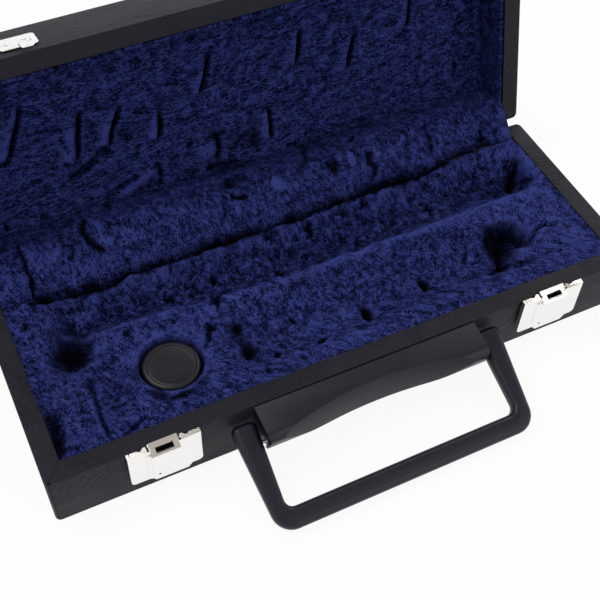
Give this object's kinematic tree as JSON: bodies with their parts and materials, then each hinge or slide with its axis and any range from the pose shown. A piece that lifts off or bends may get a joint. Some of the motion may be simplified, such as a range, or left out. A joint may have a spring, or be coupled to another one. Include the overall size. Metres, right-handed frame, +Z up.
{
  "type": "recorder case",
  "caption": "Open hard case for a wooden wind instrument, plush-lined with shaped hollows, stop-hinged lid, sliding latches, swinging handle and a grease pot.",
  "frame": {"origin": "centre of the base's footprint, on the surface it stands on", "axes": "+X along the case to its right end seen from the latches, +Y towards the hinges, +Z up"},
  "size_m": [0.3, 0.2125, 0.1398],
  "materials": {
    "leatherette": "fine wrinkled black grain over a wooden box",
    "plush": "royal blue short pile",
    "nickel": "bright nickel plate",
    "steel": "plain sheet and wire",
    "black_plastic": "satin moulded black",
    "pot_plastic": "satin moulded dark grey",
    "grease": "smooth pale grease"
  },
  "bodies": {
    "base": {"base_frame": "leatherette", "base_bottom_panel": "leatherette", "base_lining": "plush", "base_hinge_lining": "plush", "left_hinge_base_leaf": "nickel", "left_hinge_pin": "steel", "left_hinge_base_rivet_1": "nickel", "left_hinge_base_rivet_2": "nickel", "right_hinge_base_leaf": "nickel", "right_hinge_pin": "steel", "right_hinge_base_rivet_1": "nickel", "right_hinge_base_rivet_2": "nickel", "left_latch_base_plate": "steel", "left_latch_spring": "steel", "left_latch_rivet_1": "steel", "left_latch_rivet_2": "steel", "right_latch_base_plate": "steel", "right_latch_spring": "steel", "right_latch_rivet_1": "steel", "right_latch_rivet_2": "steel", "handle_bracket": "black_plastic", "left_bail_pin": "nickel", "right_bail_pin": "nickel", "left_bracket_screw": "steel", "right_bracket_screw": "steel"},
    "lid": {"lid_frame": "leatherette", "lid_top_panel": "leatherette", "lid_lining_panel": "plush", "lid_lining_back": "plush", "lid_lining_front": "plush", "lid_lining_left": "plush", "lid_lining_right": "plush", "lid_hinge_lining": "plush", "left_hinge_lid_leaf": "nickel", "left_hinge_lid_rivet_1": "nickel", "left_hinge_lid_rivet_2": "nickel", "right_hinge_lid_leaf": "nickel", "right_hinge_lid_rivet_1": "nickel", "right_hinge_lid_rivet_2": "nickel", "left_striker": "nickel", "left_striker_rivet_1": "nickel", "left_striker_rivet_2": "nickel", "right_striker": "nickel", "right_striker_rivet_1": "nickel", "right_striker_rivet_2": "nickel"},
    "bail": {"handle_bail": "black_plastic"},
    "left_latch": {"left_latch_cover": "nickel"},
    "right_latch": {"right_latch_cover": "nickel"},
    "pot": {"pot_jar": "pot_plastic", "pot_grease": "grease"},
    "pot_cap": {"pot_cap": "pot_plastic"}
  },
  "joints": [
    {"name": "lid_hinge", "type": "hinge", "parent": "base", "child": "lid", "pos_m": [0, 0.0553, 0.03165], "axis": [1, 0, 0], "range_deg": [0, 106]},
    {"name": "bail_swing", "type": "hinge", "parent": "base", "child": "bail", "pos_m": [0, -0.065, 0.0182], "axis": [-1, 0, 0], "range_deg": [0, 113]},
    {"name": "left_latch_slide", "type": "slide", "parent": "base", "child": "left_latch", "axis": [1, 0, 0], "range_m": [0, 0.003], "stiffness_N_per_m": 400, "springref_m": -0.002, "deforming": ["left_latch_spring"]},
    {"name": "right_latch_slide", "type": "slide", "parent": "base", "child": "right_latch", "axis": [1, 0, 0], "range_m": [0, 0.003], "stiffness_N_per_m": 400, "springref_m": -0.002, "deforming": ["right_latch_spring"]},
    {"name": "pot_lift", "type": "slide", "parent": "base", "child": "pot", "axis": [0, 0, 1], "range_m": [0, 0.0215]},
    {"name": "pot_cap_turn", "type": "hinge", "parent": "pot", "child": "pot_cap", "pos_m": [-0.0805, -0.0164, 0.02], "axis": [0, 0, 1], "range_deg": [0, 360]}
  ]
}
